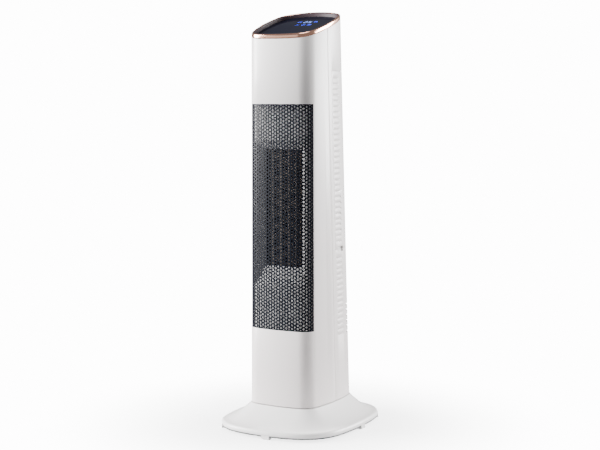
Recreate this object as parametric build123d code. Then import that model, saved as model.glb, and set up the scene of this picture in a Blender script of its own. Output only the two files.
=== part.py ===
from build123d import *
import os
from math import asin, atan, cos, degrees, pi, radians, sin, sqrt, tan

# Oscillating tower fan heater with a ceramic (PTC) element.
# Frame: origin on the floor at the centre of the base, +Z up, the air outlet faces -Y. Millimetres.

# ---------------------------------------------------------------- driving dimensions
overall_height = 620.0          # floor to the back edge of the top
top_slope_deg = 17.2            # slant of the control panel
tower_foot_z = 39.5             # underside of the turning tower
tower_half_front = 54.8         # half width at the front corners, at the foot
tower_half_back = 55.6          # half width at the back corners, at the foot
tower_narrowing = 1.8           # what each half width loses from foot to top
tower_front_y = -71.0           # front chord
tower_back_y = 72.7             # back chord at the foot
tower_back_lean = 30.4          # how far the back leans in over the full height
front_crown = 2.5               # outward bow of each face
side_crown = 3.9
back_crown = 6.8
front_corner_r = 24.0
back_corner_r = 26.2
shell_wall = 2.5
seam_foot_y = 0.8               # parting line of the two shells, at the foot
seam_lean = 26.6
seam_gap = 0.5

base_half_width = 98.5
base_half_depth = 116.9
base_crown = 3.7
base_corner_r = 66.7
base_wall = 2.6
foot_height = 5.6
foot_width = 12.6
foot_depth = 8.0
rim_round = 7.7                 # height of the rounded rim
rim_edge = 4.6                  # how far the rounding goes in
flare_steps = 7
flare_power = 1.6               # flat outside, steep at the tower
boss_r = 4.0
boss_front_y = -56.0
boss_back_y = 60.0
boss_inset = 10.0
foot_shift = 8.0                # side feet, off the middle
front_foot_x = 7.0              # front foot, off the middle
corner_foot_deg = 33.0
plateau_gap = 1.5               # shadow gap under the tower
plateau_margin = 1.0
plate_thickness = 1.9

ring_height = 6.2               # trim ring, measured straight down
ring_width = 3.2
glass_drop = 6.0
glass_thickness = 2.5
tray_wall = 1.5

grille_low_z = 152.3
grille_high_z = 482.5
grille_half_low = 52.7          # half width at its foot, round the corners
grille_half_high = 51.6
grille_sheet = 0.9
grille_pitch = 12.0             # coarse perforation
grille_hole_r = 4.2
grille_setback = 0.3            # below the shell's skin

ptc_half_width = 31.0
ptc_low_z = 244.5
ptc_high_z = 416.5
ptc_front_y = -52.0
ptc_depth = 24.0
ptc_cap_height = 14.0
ptc_side = 2.0
ptc_bars = 4
ptc_bar_width = 3.0
fin_sheet = 0.5
fin_pitch = 4.0
flare_half_width = 43.5
flare_low_z = 215.0
flare_high_z = 429.5
flare_wall = 1.6
duct_plate_y = -62.5
duct_plate = 2.0
duct_return_y = -48.0           # the plate's side returns end here

wheel_y = 12.0                  # axis of the cross-flow wheel
wheel_r = 28.0
wheel_blades = 26
wheel_blade_length = 8.0
wheel_disc = 2.0
wheel_end_gap = 6.0
shaft_r = 3.0
running_gap = 0.05              # radial clearance of shafts and bores
motor_r = 29.0
motor_height = 42.0
motor_post = 4.0
bulkhead = 3.0

cover_low_z = 266.3             # removable rear cover
cover_high_z = 530.0
cover_wall = 2.4
cover_setback = 10.0            # from the shell seam
cover_gap = 0.4
cover_travel_gap = 0.9          # cover to the frame it slides over
filter_sheet = 0.5
frame_wall = 1.7
louvre_low_z = 133.0
louvre_pitch = 8.3
louvre_slot = 3.4
louvre_half_width = 34.0
louvre_wide_rows = 6            # the lowest slots turn the back corners
louvre_wrap = 25.0
groove_depth = 0.7
groove_length = 23.0
groove_height = 3.6
notch_height = 8.0
notch_length = 27.5

collar_r = 30.0                 # swivel bearing
collar_wall = 3.5
spigot_wall = 6.0
gear_module = 1.0
gear_teeth = 80
pinion_teeth = 16
gear_width = 5.0
gear_backlash = 0.24
axial_gap = 0.4
stepper_r = 14.0
stepper_offset = 8.0
stepper_shaft_r = 2.5

post_x = 38.0                   # screw posts that join the shells
post_low_z = 72.0
post_high_z = 545.0
post_r = 4.0
post_recess = 14.0              # post end to the back surface
boss_wall_r = 5.0
board_y = -40.0                 # power board
board_sheet = 1.6
screw_r = 1.5
screw_head_r = 3.0
screw_head = 2.2
thread_gap = 0.05
fit_gap = 0.2                   # loose fit of fixed neighbours
body_gap = 0.3                  # least gap between moving bodies

switch_z = 92.0
switch_half_width = 8.0
switch_half_height = 12.0
switch_depth = 16.0
switch_flange = 1.5
switch_rim = 2.5
switch_seat = 0.3               # flat the flange sits in
rocker_throw_deg = 10.0
gland_z = 58.0
gland_bore_r = 3.3
gland_r = 6.0
gland_length = 20.0

plunger_r = 3.0
plunger_y = -88.0
tilt_switch_height = 9.0

# ---------------------------------------------------------------- derived sizes
plateau_z = tower_foot_z - plateau_gap
rim_top_z = foot_height + rim_round
top_slope = tan(radians(top_slope_deg))
tower_back_top_y = tower_back_y - tower_back_lean + back_crown
glass_floor_drop = glass_drop + glass_thickness
tray_floor_drop = glass_floor_drop + tray_wall
tray_inset = ring_width + tray_wall
duct_back_y = duct_plate_y + duct_plate
ptc_back_y = ptc_front_y + ptc_depth
wheel_low_z = ptc_low_z - 9.0
wheel_high_z = ptc_high_z + 10.0
low_bulkhead_z = wheel_low_z - wheel_end_gap - bulkhead
high_bulkhead_z = wheel_high_z + wheel_end_gap
motor_top_z = low_bulkhead_z - motor_post
motor_low_z = motor_top_z - motor_height
gear_r = gear_module * gear_teeth / 2
pinion_r = gear_module * pinion_teeth / 2
gear_centres = gear_r + pinion_r
gear_top_z = plateau_z - 19.0
gear_low_z = gear_top_z - gear_width
spigot_r = collar_r - running_gap
frame_inset = cover_wall + cover_travel_gap
lean_deg = degrees(atan(tower_back_lean / (overall_height - tower_foot_z)))
big = 400.0


def ring_outline(z, half_front, half_back, y_front, y_back, crowns, r_front, r_back):
    """Plan outline of four bowed sides and four round corners, counter-clockwise from the front."""
    corners = [
        Vector(-half_front + r_front, y_front + r_front),
        Vector(half_front - r_front, y_front + r_front),
        Vector(half_back - r_back, y_back - r_back),
        Vector(-half_back + r_back, y_back - r_back),
    ]
    radii = [r_front, r_front, r_back, r_back]
    sides = []
    for i in range(4):
        a, b = corners[i], corners[(i + 1) % 4]
        ra, rb = radii[i], radii[(i + 1) % 4]
        along = (b - a).normalized()
        out = Vector(along.Y, -along.X)
        half = 2 * atan(2 * crowns[i] / (b - a).length)
        start = a + (out * cos(half) - along * sin(half)) * ra
        end = b + (out * cos(half) + along * sin(half)) * rb
        middle = (a + b) * 0.5 + out * (crowns[i] + (ra + rb) / 2)
        sides.append((start, middle, end))
    edges = []
    for i in range(4):
        start, middle, end = sides[i]
        following = sides[(i + 1) % 4][0]
        centre, radius = corners[(i + 1) % 4], radii[(i + 1) % 4]
        bisector = ((end - centre) + (following - centre)).normalized()
        edges.append(ThreePointArc(start, middle, end))
        edges.append(ThreePointArc(end, centre + bisector * radius, following))
    return Pos(0, 0, z) * make_face(edges).face()


def tower_values(z, inset):
    """Outline values of the tower at height z, moved inwards by inset."""
    share = (z - tower_foot_z) / (overall_height - tower_foot_z)
    narrower = tower_narrowing * share + inset
    return [
        tower_half_front - narrower,
        tower_half_back - narrower,
        tower_front_y + inset,
        tower_back_y - tower_back_lean * share - inset,
        front_crown, side_crown, back_crown,
        front_corner_r - inset,
        back_corner_r - inset,
    ]


def base_values(inset):
    """Outline values of the base rim, moved inwards by inset."""
    return [
        base_half_width - inset, base_half_width - inset,
        -base_half_depth + inset, base_half_depth - inset,
        base_crown, base_crown, base_crown,
        base_corner_r - inset, base_corner_r - inset,
    ]


def outline_at(z, v):
    """Face of one list of outline values."""
    return ring_outline(z, v[0], v[1], v[2], v[3], [v[4], v[5], v[6], v[5]], v[7], v[8])


def tower_prism(inset, low=tower_foot_z, high=overall_height + 30.0):
    """The tower's leaning outline as a solid, moved inwards by inset."""
    sections = [outline_at(z, tower_values(z, inset)) for z in (low, high)]
    return loft(sections, ruled=True)


def span(x0, x1, y0, y1, z0, z1):
    """Box from its limits."""
    size = (x1 - x0, y1 - y0, z1 - z0)
    return Pos((x0 + x1) / 2, (y0 + y1) / 2, (z0 + z1) / 2) * Box(*size)


def upright(r, x, y, z0, z1):
    """Vertical cylinder from z0 to z1."""
    return Pos(x, y, (z0 + z1) / 2) * Cylinder(r, z1 - z0)


def side_slab(points):
    """Solid with the given side view (y, z), running right across the object."""
    return extrude(Plane.YZ * make_face(Polyline(*points, close=True)), amount=big, both=True)


def top_z(y, drop=0.0):
    """Height of the slanted top over y, less drop."""
    return overall_height - drop + (y - tower_back_top_y) * top_slope


def layer(high_drop, low_drop):
    """Slanted layer between two drops below the top."""
    return side_slab([
        (-big, top_z(-big, high_drop)), (big, top_z(big, high_drop)),
        (big, top_z(big, low_drop)), (-big, top_z(-big, low_drop)),
    ])


def seam_y(z):
    """Parting line of the shells at height z; it leans back towards the front as it rises."""
    return seam_foot_y - seam_lean * (z - tower_foot_z) / (overall_height - tower_foot_z)


def behind_seam(setback, low=-big, high=2 * big):
    """Everything behind the parting line by setback, between two heights."""
    return side_slab([
        (seam_y(low) + setback, low), (big, low), (big, high), (seam_y(high) + setback, high),
    ])


def back_surface_y(z):
    """Outer surface on the middle of the back at height z."""
    return tower_values(z, 0)[3] + back_crown


def screw(shank):
    """Pan head screw: its head's seat at the origin, the shank along -Z."""
    head = Pos(0, 0, screw_head / 2) * Cylinder(screw_head_r, screw_head)
    recess = Pos(0, 0, screw_head) * (Box(3.4, 0.9, 2) + Box(0.9, 3.4, 2))
    shaft = Pos(0, 0, -shank / 2) * Cylinder(screw_r - thread_gap, shank)
    return head - recess + shaft


def gear_face(teeth, backlash):
    """Involute spur gear outline, 20 degree pressure angle."""
    pitch_r = gear_module * teeth / 2
    base_r = pitch_r * cos(radians(20))
    tip_r = pitch_r + gear_module * 0.95
    root_r = pitch_r - gear_module * 1.25
    half_at_pitch = pi / 2 / teeth - backlash / 4 / pitch_r
    involute_at_pitch = tan(radians(20)) - radians(20)
    flank_low_r = max(base_r, root_r + 0.05)
    flank = []
    for step in range(5):
        r = flank_low_r + (tip_r - flank_low_r) * step / 4
        pressure = sqrt(max(0.0, (r / base_r) ** 2 - 1))
        roll = pressure - atan(pressure)
        flank.append((r, half_at_pitch + involute_at_pitch - roll))
    points = []
    for tooth in range(teeth):
        middle = 2 * pi * tooth / teeth
        rising = [(root_r, flank[0][1])] + flank
        for r, half in rising:
            points.append((r * cos(middle - half), r * sin(middle - half)))
        for r, half in reversed(rising):
            points.append((r * cos(middle + half), r * sin(middle + half)))
    return make_face(Polyline(*points, close=True))


# ---------------------------------------------------------------- base
def plinth_sections(inset, drop):
    """Flared cover from its rim to the plateau under the tower."""
    rim = base_values(inset)
    edge = base_values(rim_edge + inset)
    summit = tower_values(tower_foot_z, inset - plateau_margin)
    faces = [
        outline_at(foot_height - drop, base_values(inset + 0.7)),
        outline_at(foot_height + 2.0 - drop / 2, rim),
        outline_at(rim_top_z - 2.6 - drop, base_values(inset + 0.9)),
        outline_at(rim_top_z - drop, edge),
    ]
    for i in range(1, flare_steps + 1):
        share = i / flare_steps
        height = rim_top_z + (plateau_z - rim_top_z) * share ** flare_power - drop
        values = [a + (b - a) * share for a, b in zip(edge, summit)]
        faces.append(outline_at(height, values))
    return faces


def boss_places():
    """Four screw places of the base, tied to the tower's footprint."""
    x = tower_half_front - boss_inset
    return [(side * x, y) for y in (boss_front_y, boss_back_y) for side in (-1, 1)]


def make_plinth():
    outer = loft(plinth_sections(0.0, 0.0), ruled=True)
    inner = loft(plinth_sections(base_wall, base_wall), ruled=True)
    bosses = [upright(boss_r, x, y, foot_height, plateau_z) for x, y in boss_places()]
    collar_low = gear_top_z + axial_gap
    collar = upright(collar_r + collar_wall, 0, 0, collar_low, plateau_z)
    cover = outer - inner + (Part() + [collar] + bosses) & outer
    for x, y in boss_places():
        cover -= upright(screw_r, x, y, 0, plateau_z - base_wall - 6.0)
    return cover - upright(collar_r, 0, 0, 0, plateau_z + 1)


def foot_places():
    """Name, direction and distance of each foot: a point on the rim and its outward direction."""
    corner_x = base_half_width - base_corner_r
    corner_y = base_half_depth - base_corner_r
    turn = radians(corner_foot_deg)
    reach = base_corner_r - foot_depth / 2 - fit_gap
    diagonal = (corner_x + reach * cos(turn), corner_y + reach * sin(turn))
    edge_x = base_half_width + base_crown - foot_depth / 2 - fit_gap
    edge_y = base_half_depth + base_crown - foot_depth / 2 - fit_gap
    return {
        "foot_front": (front_foot_x, -edge_y, 90.0),
        "foot_back": (-front_foot_x, edge_y, 90.0),
        "foot_right": (edge_x, foot_shift, 0.0),
        "foot_left": (-edge_x, -foot_shift, 0.0),
        "foot_left_front": (-diagonal[0], -diagonal[1], corner_foot_deg),
        "foot_right_back": (diagonal[0], diagonal[1], corner_foot_deg),
    }


def foot_block(x, y, turn, grow, low, high):
    block = Box(foot_depth + 2 * grow, foot_width + 2 * grow, high - low)
    return Pos(x, y, (low + high) / 2) * Rot(0, 0, turn) * block


def make_foot(x, y, turn):
    block = foot_block(x, y, turn, 0, 0, foot_height)
    return chamfer(block.edges().group_by(Axis.Z)[0], 0.8)


def make_base_plate():
    low = foot_height - plate_thickness
    plate = extrude(outline_at(low, base_values(1.2)), amount=plate_thickness)
    for x, y, turn in foot_places().values():
        plate -= foot_block(x, y, turn, fit_gap, 0, foot_height + 1)
    for x, y in boss_places():
        plate -= upright(screw_r + fit_gap, x, y, 0, foot_height + 1)
    return plate - upright(plunger_r + body_gap, 0, plunger_y, 0, foot_height + 1)


def make_base_screws():
    seat = foot_height - plate_thickness
    return [Pos(x, y, seat) * Rot(180, 0, 0) * screw(12.0) for x, y in boss_places()]


def make_thrust_washer():
    high = tower_foot_z - body_gap
    return upright(collar_r + 16, 0, 0, plateau_z, high) - upright(collar_r + 4, 0, 0, 0, high + 1)


def make_stepper():
    high = plateau_z - base_wall
    low = gear_top_z + 1.2
    y = gear_centres + stepper_offset
    can = upright(stepper_r, 0, y, low, high)
    ears = span(-stepper_r - 7, stepper_r + 7, y - 3.5, y + 3.5, high - 1, high)
    nose = upright(4.5, 0, gear_centres, low - 0.6, low + 1)
    bore = upright(stepper_shaft_r + running_gap, 0, gear_centres, low - 2, low + 8)
    return can + ears + nose - bore


def make_pinion():
    turn = 180.0 / pinion_teeth
    teeth = extrude(gear_face(pinion_teeth, gear_backlash), amount=gear_width)
    wheel = Pos(0, gear_centres, gear_low_z) * Rot(0, 0, -90 + turn) * teeth
    shaft = upright(stepper_shaft_r, 0, gear_centres, gear_low_z - 1.5, gear_top_z + 8.0)
    return wheel + shaft


def make_tilt_switch():
    body = span(-9, 9, plunger_y - 8, plunger_y + 8, foot_height, foot_height + tilt_switch_height)
    bore = upright(plunger_r + running_gap, 0, plunger_y, 0, foot_height + tilt_switch_height - 2)
    return body - bore


def make_tilt_plunger():
    tip = upright(plunger_r, 0, plunger_y, body_gap, foot_height + 4)
    return chamfer(tip.edges().group_by(Axis.Z)[0], 0.6)


# ---------------------------------------------------------------- turning tower
def below_ring():
    """Everything under the trim ring."""
    return side_slab([
        (-big, -big), (big, -big), (big, top_z(big, ring_height)), (-big, top_z(-big, ring_height)),
    ])


def post_places():
    """Height and side of the four screws that hold the shells together."""
    return [(x, z) for x in (-post_x, post_x) for z in (post_low_z, post_high_z)]


def cover_zone(grow):
    """Where the removable rear cover sits, grown by grow."""
    low, high = cover_low_z - grow, cover_high_z + grow
    return behind_seam(cover_setback - grow, low, high)


def louvre_rows(low, high):
    """Heights of the louvres between two heights."""
    count = int((cover_high_z - louvre_low_z) / louvre_pitch)
    rows = [louvre_low_z + louvre_pitch * (i + 0.5) for i in range(count)]
    return [z for z in rows if low < z < high]


def louvre_cut(z):
    """Slot across the back; the lowest ones run round both corners."""
    half = louvre_slot / 2
    if z < louvre_low_z + louvre_wide_rows * louvre_pitch:
        return span(-big, big, tower_values(z, 0)[3] - louvre_wrap, big, z - half, z + half)
    return span(-louvre_half_width, louvre_half_width, 0, big, z - half, z + half)


def groove_cuts(rows):
    """Shallow grooves on both flanks, behind the parting line."""
    bars = []
    for z in rows:
        y = seam_y(z) + cover_setback + 2.0
        half = groove_height / 2
        bars.append(span(-big, big, y, y + groove_length, z - half, z + half))
    skin = tower_prism(-1.0) - tower_prism(groove_depth)
    return skin & (Part() + bars)


def notch_cut():
    """Finger notch across the lower edge of the cover, on both flanks."""
    middle = cover_low_z
    y = seam_y(middle) + cover_setback + 1.5
    half = notch_height / 2
    return span(-big, big, y, y + notch_length, middle - half, middle + half)


def grille_zone(grow):
    """The outlet opening, grown by grow; its sides cut square through the rounded corners."""
    sections = []
    ends = ((grille_low_z - grow, grille_half_low + grow), (grille_high_z + grow, grille_half_high + grow))
    for z, half in ends:
        v = tower_values(z, 0)
        radius = v[7]
        x, y = v[0] - radius, v[2] + radius
        turn = asin((half - x) / radius)
        far_x, far_y = x + big * sin(turn), y - big * cos(turn)
        outline = Polyline((-x, y), (x, y), (far_x, far_y), (-far_x, far_y), close=True)
        sections.append(Pos(0, 0, z) * make_face(outline).face())
    return loft(sections, ruled=True)


def make_front_shell():
    wall = tower_prism(0) - tower_prism(shell_wall)
    wall -= behind_seam(-seam_gap / 2)
    wall -= grille_zone(fit_gap)
    posts = []
    for x, z in post_places():
        length = back_surface_y(z) - post_recess - tower_front_y
        posts.append(Pos(x, tower_front_y + length / 2, z) * Rot(90, 0, 0) * Cylinder(post_r, length))
    wall += (Part() + posts) & tower_prism(shell_wall / 2)
    for x, z in post_places():
        end = back_surface_y(z) - post_recess
        wall -= Pos(x, end - 8, z) * Rot(90, 0, 0) * Cylinder(screw_r, 20)
    return wall & below_ring()


def make_rear_shell():
    wall = tower_prism(0) - tower_prism(shell_wall)
    wall &= behind_seam(seam_gap / 2)
    for x, z in post_places():
        end = back_surface_y(z) - post_recess
        boss = Pos(x, end + 15 + fit_gap, z) * Rot(90, 0, 0) * Cylinder(boss_wall_r, 30)
        wall += boss & tower_prism(shell_wall / 2)
        wall -= Pos(x, end, z) * Rot(90, 0, 0) * Cylinder(screw_r + fit_gap, 20)
        wall -= Pos(x, end + 3 + 20, z) * Rot(90, 0, 0) * Cylinder(screw_head_r + 0.4, 40)
    wall -= cover_zone(cover_gap)
    rows = louvre_rows(louvre_low_z, cover_low_z - notch_height)
    for z in rows:
        wall -= louvre_cut(z)
    wall -= groove_cuts(rows)
    wall -= notch_cut()
    hole = Box(2 * switch_half_width + 2 * fit_gap, 2 * switch_half_height + 2 * fit_gap, 30)
    flange_x, flange_y = switch_half_width + switch_rim, switch_half_height + switch_rim
    hole += span(-flange_x, flange_x, -flange_y, flange_y, -switch_seat, 6)
    wall -= switch_plane().location * hole
    wall -= Pos(0, back_surface_y(gland_z), gland_z) * Rot(90, 0, 0) * Cylinder(gland_r, 30)
    return wall & below_ring()


def make_shell_screws():
    screws = []
    for x, z in post_places():
        seat = back_surface_y(z) - post_recess + 3.0
        screws.append(Pos(x, seat, z) * Rot(-90, 0, 0) * screw(13.0))
    return screws


def make_rear_cover():
    wall = (tower_prism(0) - tower_prism(cover_wall)) & cover_zone(0)
    rows = louvre_rows(cover_low_z + notch_height, cover_high_z)
    for z in rows:
        wall -= louvre_cut(z)
    wall -= groove_cuts(rows)
    return wall - notch_cut()


def make_filter_mesh():
    low, high = cover_low_z + 14.0, cover_high_z - 14.0
    sheet = tower_prism(cover_wall) - tower_prism(cover_wall + filter_sheet)
    return sheet & span(-louvre_half_width - 3, louvre_half_width + 3, 10, big, low, high)


def make_filter_frame():
    margin = 8.0
    low, high = cover_low_z - margin, cover_high_z + margin
    body = tower_prism(shell_wall) - tower_prism(frame_inset + frame_wall)
    body &= behind_seam(cover_setback - margin, low, high)
    body -= cover_zone(cover_gap) & (tower_prism(-1.0) - tower_prism(frame_inset))
    window = louvre_half_width + 5.0
    body -= span(-window, window, 0, big, cover_low_z + 10, cover_high_z - 10)
    body -= Part() + [louvre_cut(z) for z in louvre_rows(low - 4, cover_low_z)]
    for x, z in post_places():
        body -= Pos(x, 0, z) * Rot(90, 0, 0) * Cylinder(boss_wall_r + 0.4, big)
    return body


def make_tower_floor():
    thickness = 3.0
    inset = shell_wall
    disc = tower_prism(inset, tower_foot_z, tower_foot_z + thickness)
    spigot = upright(spigot_r, 0, 0, gear_top_z, tower_foot_z + thickness)
    floor = disc + spigot - upright(spigot_r - spigot_wall, 0, 0, 0, tower_foot_z + thickness + 1)
    for x, y in retainer_places():
        floor -= upright(screw_r, x, y, 0, gear_top_z + 12.0)
    return floor


def retainer_places():
    r = spigot_r - spigot_wall / 2
    return [(r * cos(2 * pi * i / 3), r * sin(2 * pi * i / 3)) for i in range(3)]


def make_swivel_gear():
    blank = extrude(gear_face(gear_teeth, gear_backlash), amount=gear_width)
    gear = Pos(0, 0, gear_low_z) * Rot(0, 0, 90) * blank
    gear -= upright(spigot_r - spigot_wall, 0, 0, 0, gear_top_z + 1)
    for x, y in retainer_places():
        gear -= upright(screw_r + fit_gap, x, y, 0, gear_top_z + 1)
    return gear


def make_gear_screws():
    return [Pos(x, y, gear_low_z) * Rot(180, 0, 0) * screw(14.0) for x, y in retainer_places()]


def make_front_grille():
    sheet = tower_prism(grille_setback) - tower_prism(grille_setback + grille_sheet)
    sheet &= grille_zone(0)
    row_step = grille_pitch * sqrt(3) / 2
    rows = int((grille_high_z - grille_low_z - 8.0) / row_step)
    columns = int((2 * grille_half_high - 14.0) / grille_pitch)
    middle = (grille_low_z + grille_high_z) / 2
    holes = []
    for row in range(rows):
        z = middle + (row - (rows - 1) / 2) * row_step
        count = columns - row % 2
        for column in range(count):
            x = (column - (count - 1) / 2) * grille_pitch
            holes.append(Pos(x, tower_front_y, z) * Rot(90, 0, 0) * Cylinder(grille_hole_r, 40))
    return sheet - holes


def upright_rect(half_width, low, high, y):
    """Upright rectangle facing the front at depth y."""
    face = Rectangle(2 * half_width, high - low)
    return (Plane.XZ.offset(-y) * Pos(0, (low + high) / 2) * face).face()


def flare_solid(grow):
    outer = upright_rect(flare_half_width + grow, flare_low_z - grow, flare_high_z + grow, duct_plate_y)
    inner = upright_rect(ptc_half_width + grow, ptc_low_z - grow, ptc_high_z + grow, ptc_front_y)
    return loft([outer, inner], ruled=True)


def make_front_duct():
    low, high = grille_low_z - 5.0, grille_high_z + 5.0
    plate = span(-big, big, duct_plate_y, duct_back_y, low, high) & tower_prism(shell_wall + fit_gap)
    inside = shell_wall + fit_gap
    returns = tower_prism(inside) - tower_prism(inside + flare_wall)
    returns &= span(-big, big, duct_plate_y, duct_return_y, low, high)
    duct = plate + returns + (flare_solid(flare_wall) & tower_prism(inside))
    return duct - flare_solid(0)


def make_ptc_cap(low, high):
    x = ptc_half_width + ptc_side
    cap = span(-x, x, ptc_front_y, ptc_back_y, low, high)
    return chamfer(cap.edges().filter_by(Axis.Y), 1.5)


def ptc_columns():
    """Left edge and width of each finned column."""
    width = (2 * ptc_half_width - ptc_bars * ptc_bar_width) / (ptc_bars + 1)
    return [(-ptc_half_width + i * (width + ptc_bar_width), width) for i in range(ptc_bars + 1)]


def make_ptc_bars():
    bars = []
    for left, width in ptc_columns()[1:]:
        x = left - ptc_bar_width
        bars.append(span(x, left, ptc_front_y + 2, ptc_back_y - 2, ptc_low_z, ptc_high_z))
    return bars


def make_ptc_fins():
    fins = []
    count = int((ptc_high_z - ptc_low_z - fin_sheet) / (fin_pitch / 2))
    start = (ptc_high_z + ptc_low_z - count * fin_pitch / 2) / 2
    for left, width in ptc_columns():
        half = fin_sheet * width / (fin_pitch + 2 * fin_sheet)
        near, far = left + half, left + width - half
        one_side, other_side = [], []
        for i in range(count + 1):
            x = near if i % 2 else far
            z = start + i * fin_pitch / 2
            one_side.append((x - half, z))
            other_side.append((x + half, z))
        outline = make_face(Polyline(*one_side, *reversed(other_side), close=True))
        sheet = Plane.XZ.offset(-ptc_back_y + 3) * outline
        fins.append(extrude(sheet, amount=ptc_depth - 6))
    return fins


def make_ptc_rails():
    rails = []
    for side in (-1, 1):
        a, b = side * ptc_half_width, side * (ptc_half_width + ptc_side)
        rails.append(span(min(a, b), max(a, b), ptc_front_y, ptc_back_y, ptc_low_z, ptc_high_z))
    return rails


def make_ptc_terminals():
    low = ptc_low_z - ptc_cap_height - 10.0
    tabs = []
    for x in (-20.0, 0.0, 20.0):
        tab = span(x - 3.2, x + 3.2, -34.4, -33.6, low, ptc_low_z - ptc_cap_height)
        tabs.append(tab - Pos(x, -34, low + 4) * Rot(90, 0, 0) * Cylinder(0.9, 4))
    return tabs


def make_thermal_cutout():
    low = ptc_high_z + ptc_cap_height
    body = upright(6.0, 0, -34, low, low + 7)
    return body + span(-12, 12, -37, -31, low, low + 1.5)


def make_bulkhead(low, hole_r):
    plate = tower_prism(frame_inset + frame_wall + 0.8, low, low + bulkhead)
    plate &= span(-big, big, ptc_back_y + fit_gap, big, low, low + bulkhead)
    return plate - upright(hole_r, 0, wheel_y, low - 1, low + bulkhead + 1)


def duct_wall(edges):
    """Sheet wall of the blower between the bulkheads, following a line of edges."""
    path = Wire(edges)
    sheet = offset(path, amount=0.9, side=Side.BOTH)
    low, high = low_bulkhead_z + bulkhead, high_bulkhead_z
    return Pos(0, 0, low) * extrude(make_face(sheet.edges()), amount=high - low)


def make_scroll_wall():
    x = -ptc_half_width - ptc_side + 1
    start_y = ptc_back_y + 1.2
    bend = ThreePointArc((x, start_y + 14), (-33.6, wheel_y + 14), (-14, wheel_y + 31))
    return duct_wall([Line((x, start_y), (x, start_y + 14)), bend])


def make_cutoff_wall():
    x = ptc_half_width + ptc_side - 1
    start_y = ptc_back_y + 1.2
    return duct_wall([Line((x, start_y), (x, start_y + 12)), Line((x, start_y + 12), (x + 3, start_y + 24))])


def make_fan_motor():
    can = upright(motor_r, 0, wheel_y, motor_low_z, motor_top_z)
    can = fillet(can.edges(), 3.0)
    for i in range(3):
        turn = 2 * pi * i / 3
        x, y = (motor_r - 8) * cos(turn), wheel_y + (motor_r - 8) * sin(turn)
        can += upright(3.5, x, y, motor_top_z - 1, low_bulkhead_z)
    return can - upright(shaft_r + running_gap, 0, wheel_y, motor_low_z + 6, motor_top_z + 1)


def make_upper_bearing():
    low, high = high_bulkhead_z, high_bulkhead_z + bulkhead
    bush = upright(9.0, 0, wheel_y, low, high) + upright(12.0, 0, wheel_y, high, high + 4)
    return bush - upright(shaft_r + running_gap, 0, wheel_y, low - 1, high + 5)


def make_fan_wheel():
    inner_r = wheel_r - wheel_blade_length
    half = 0.6
    edges = []
    for side in (-half, half):
        middle = ((inner_r + wheel_r) / 2, side - 0.9)
        edges.append(ThreePointArc((inner_r, side), middle, (wheel_r - 0.3, side + 2.0)))
    edges.append(Line(edges[0] @ 0, edges[1] @ 0))
    edges.append(Line(edges[0] @ 1, edges[1] @ 1))
    blade = extrude(make_face(edges), amount=wheel_high_z - wheel_low_z)
    blades = PolarLocations(0, wheel_blades) * blade
    gap = (wheel_high_z - wheel_low_z - wheel_disc) / 3
    rings = []
    for i in range(4):
        z = i * gap
        hole = shaft_r if i in (0, 3) else inner_r - 2
        rings.append(upright(wheel_r, 0, 0, z, z + wheel_disc) - upright(hole, 0, 0, z - 1, z + 3))
    hub = upright(8.0, 0, 0, 0, 10) - upright(shaft_r, 0, 0, -1, 11)
    return Pos(0, wheel_y, wheel_low_z) * (Part() + rings + [hub] + list(blades))


def make_fan_shaft():
    return upright(shaft_r, 0, wheel_y, motor_low_z + 10, high_bulkhead_z + bulkhead + 3)


def make_trim_ring():
    return (tower_prism(0) - tower_prism(ring_width)) & layer(0, ring_height)


def make_panel_tray():
    depth = tray_floor_drop + 4
    wall = (tower_prism(ring_width) - tower_prism(tray_inset)) & layer(0.8, depth)
    floor = tower_prism(tray_inset) & layer(glass_floor_drop, tray_floor_drop)
    window = span(-26, 26, -34, 26, tower_foot_z, overall_height)
    return wall + (floor - window)


def make_panel_glass():
    return tower_prism(tray_inset + 0.1) & layer(glass_drop, glass_floor_drop)


def make_display_board():
    drop = tray_floor_drop + 2
    return span(-30, 30, -38, 30, tower_foot_z, overall_height) & layer(drop, drop + 1.6)


def make_display_lamps():
    lamps = []
    for x in (-15, 0, 15):
        for y in (-22, 2, 18):
            lamps.append(span(x - 5, x + 5, y - 4, y + 4, tower_foot_z, overall_height))
    return [lamp & layer(glass_floor_drop, tray_floor_drop + 2) for lamp in lamps]


def make_power_board():
    return span(-30, 30, board_y, board_y + board_sheet, 56, 140)


def make_board_parts():
    face = board_y + board_sheet
    relays = [span(x - 8, x + 8, face, face + 16.4, 112, 132) for x in (-18, 2)]
    capacitor = Pos(20, face + 9, 122) * Rot(90, 0, 0) * Cylinder(7, 18)
    block = span(-24, 24, face, face + 12.4, 60, 70)
    sink = span(-26, -6, face, face + 20.4, 78, 100) - span(-22, -10, face + 6.4, face + 21.4, 77, 101)
    return relays + [capacitor, block, sink]


def make_board_standoffs():
    posts = []
    for x in (-26, 26):
        for z in (60, 136):
            post = Pos(x, -55, z) * Rot(90, 0, 0) * Cylinder(3, 30)
            posts.append((post & tower_prism(shell_wall)) & span(-big, big, -big, board_y, 0, big))
    return posts


def switch_plane():
    """Local frame of the power switch on the leaning back wall: z outwards, y up."""
    tilt = radians(lean_deg)
    origin = (0, back_surface_y(switch_z), switch_z)
    return Plane(origin=origin, x_dir=(-1, 0, 0), z_dir=(0, cos(tilt), sin(tilt)))


def make_switch_housing():
    w, h = switch_half_width, switch_half_height
    body = span(-w, w, -h, h, -switch_depth, 0)
    rim = switch_rim
    flange = span(-w - rim, w + rim, -h - rim, h + rim, -switch_seat, switch_flange)
    flange = chamfer(flange.edges().group_by(Axis.Z)[-1], 0.5)
    pocket = span(-w + 1.2, w - 1.2, -h + 1.0, h - 1.0, -switch_depth + 3, switch_flange + 1)
    return switch_plane().location * (body + flange - pocket)


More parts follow.
